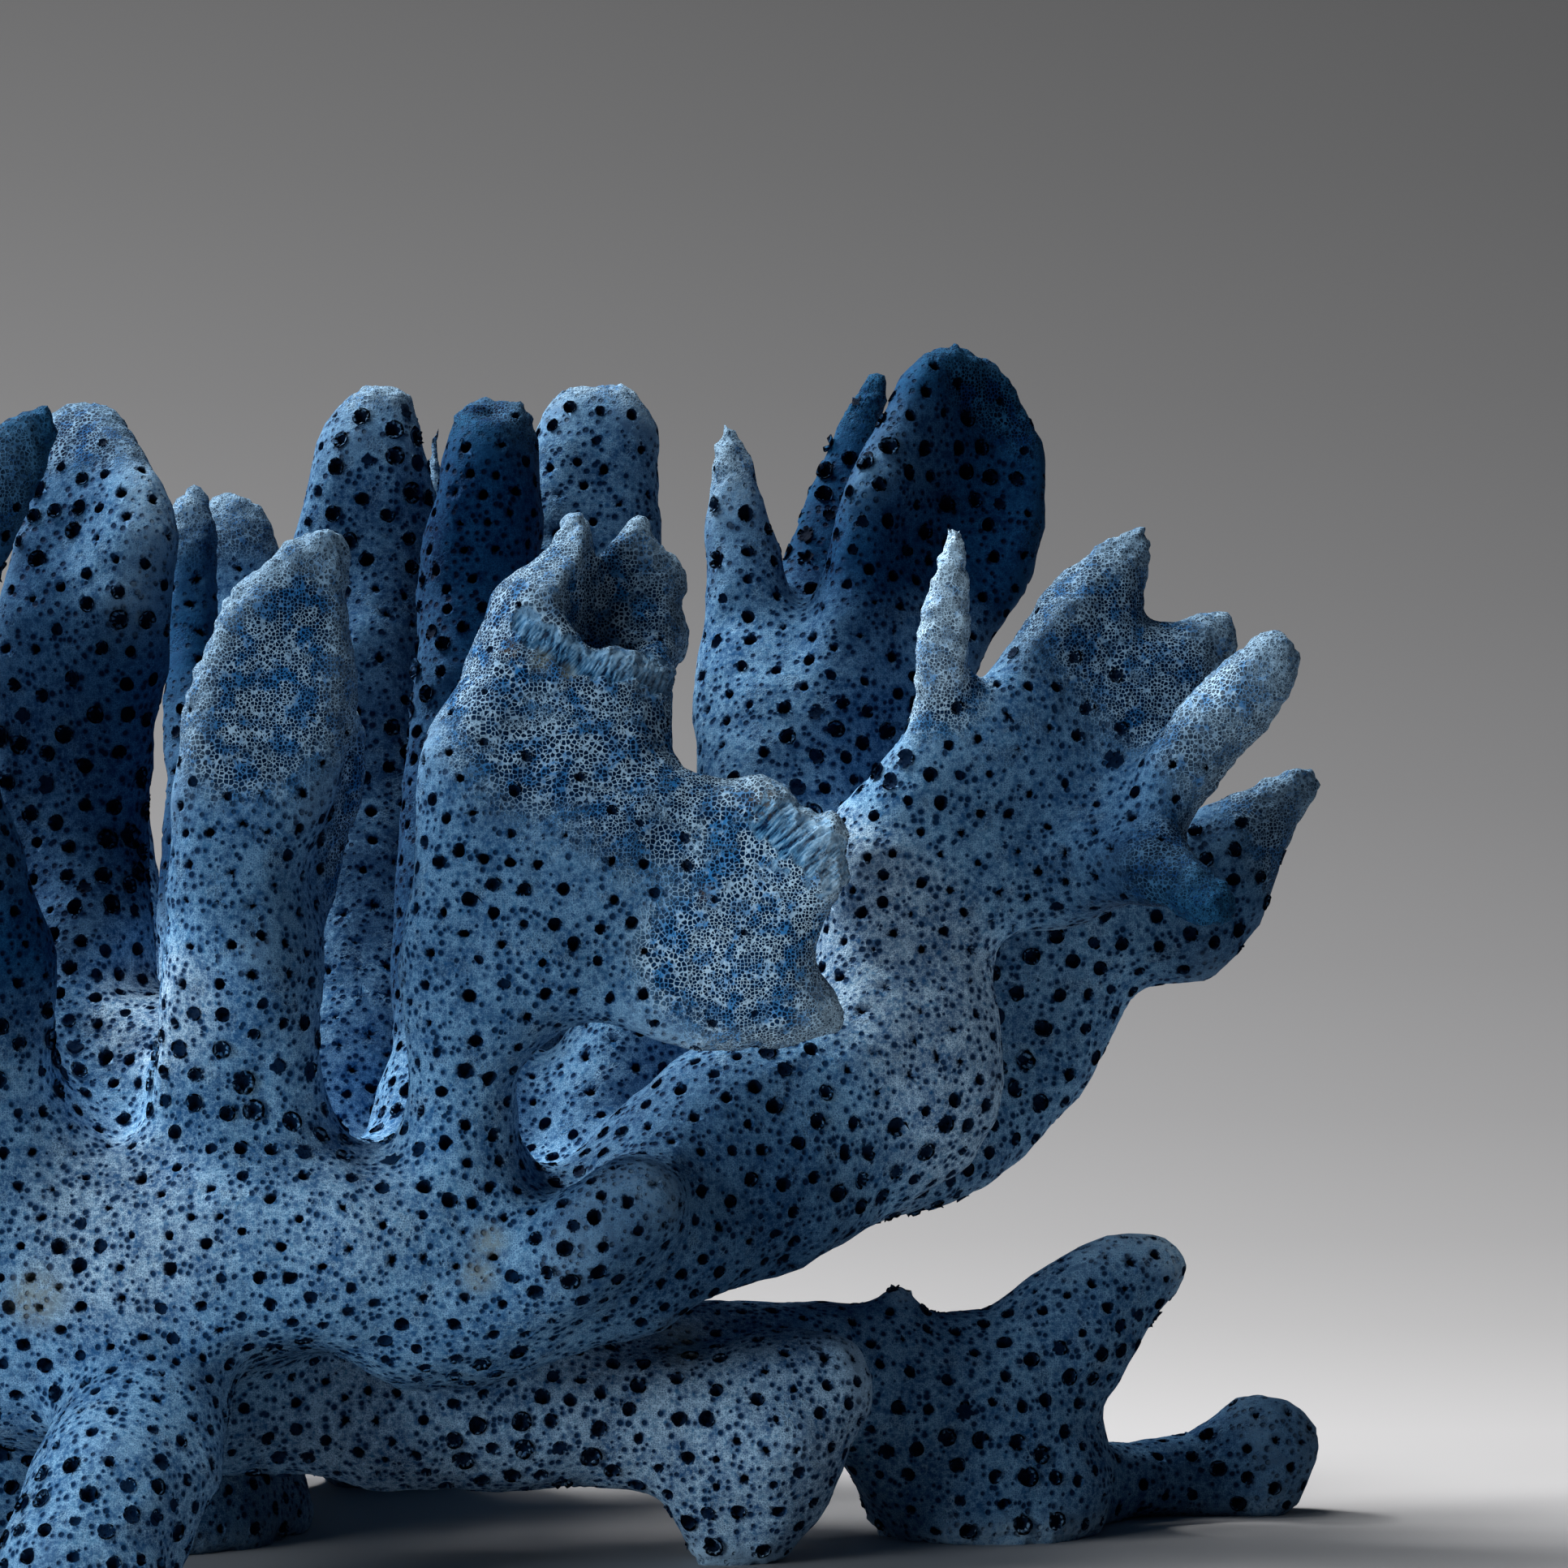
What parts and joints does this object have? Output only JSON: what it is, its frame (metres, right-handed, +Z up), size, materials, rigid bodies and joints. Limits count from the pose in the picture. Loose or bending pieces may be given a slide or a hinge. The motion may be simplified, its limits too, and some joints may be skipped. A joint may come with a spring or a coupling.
{
  "type": "blue coral skeleton",
  "caption": "Dry blue ridge coral skeleton: upright blades, fingers and a spread hand on a low crust, cut off flat so that it stands on a shelf.",
  "frame": {"origin": "middle of the bounding box's foot print, on the plane of the flat cut base", "axes": "+X along the crust towards the spread hand, +Y from the knife blade's side to the back, +Z up, the way the blades grow"},
  "size_m": [0.1554, 0.1034, 0.089],
  "materials": {
    "blue_skeleton": "dry, matt, finely porous, mottled pale and dark blue"
  },
  "bodies": {
    "root": {"back_blade": "blue_skeleton", "back_column": "blue_skeleton", "back_fan": "blue_skeleton", "back_finger": "blue_skeleton", "back_shelf": "blue_skeleton", "chimney_column": "blue_skeleton", "coral_crust": "blue_skeleton", "crown_tower": "blue_skeleton", "cupped_blade": "blue_skeleton", "dark_knuckle": "blue_skeleton", "far_foot": "blue_skeleton", "far_shoulder": "blue_skeleton", "fork_spike": "blue_skeleton", "fork_trunk": "blue_skeleton", "front_foot": "blue_skeleton", "front_thumb": "blue_skeleton", "hand_thumb": "blue_skeleton", "hand_trunk": "blue_skeleton", "holdfast": "blue_skeleton", "knife_blade": "blue_skeleton", "left_blade": "blue_skeleton", "lit_blade": "blue_skeleton", "lone_spike": "blue_skeleton", "lower_shelf": "blue_skeleton", "rear_finger": "blue_skeleton", "rear_foot": "blue_skeleton", "rear_left_foot": "blue_skeleton", "rear_plate": "blue_skeleton", "right_shelf": "blue_skeleton", "spread_hand": "blue_skeleton", "squat_column": "blue_skeleton", "tall_column": "blue_skeleton", "thin_finger": "blue_skeleton", "west_back_blade": "blue_skeleton", "west_blade": "blue_skeleton", "west_column": "blue_skeleton", "west_foot": "blue_skeleton", "west_fork": "blue_skeleton", "west_horn": "blue_skeleton", "west_spike": "blue_skeleton", "west_trunk": "blue_skeleton"}
  },
  "joints": []
}
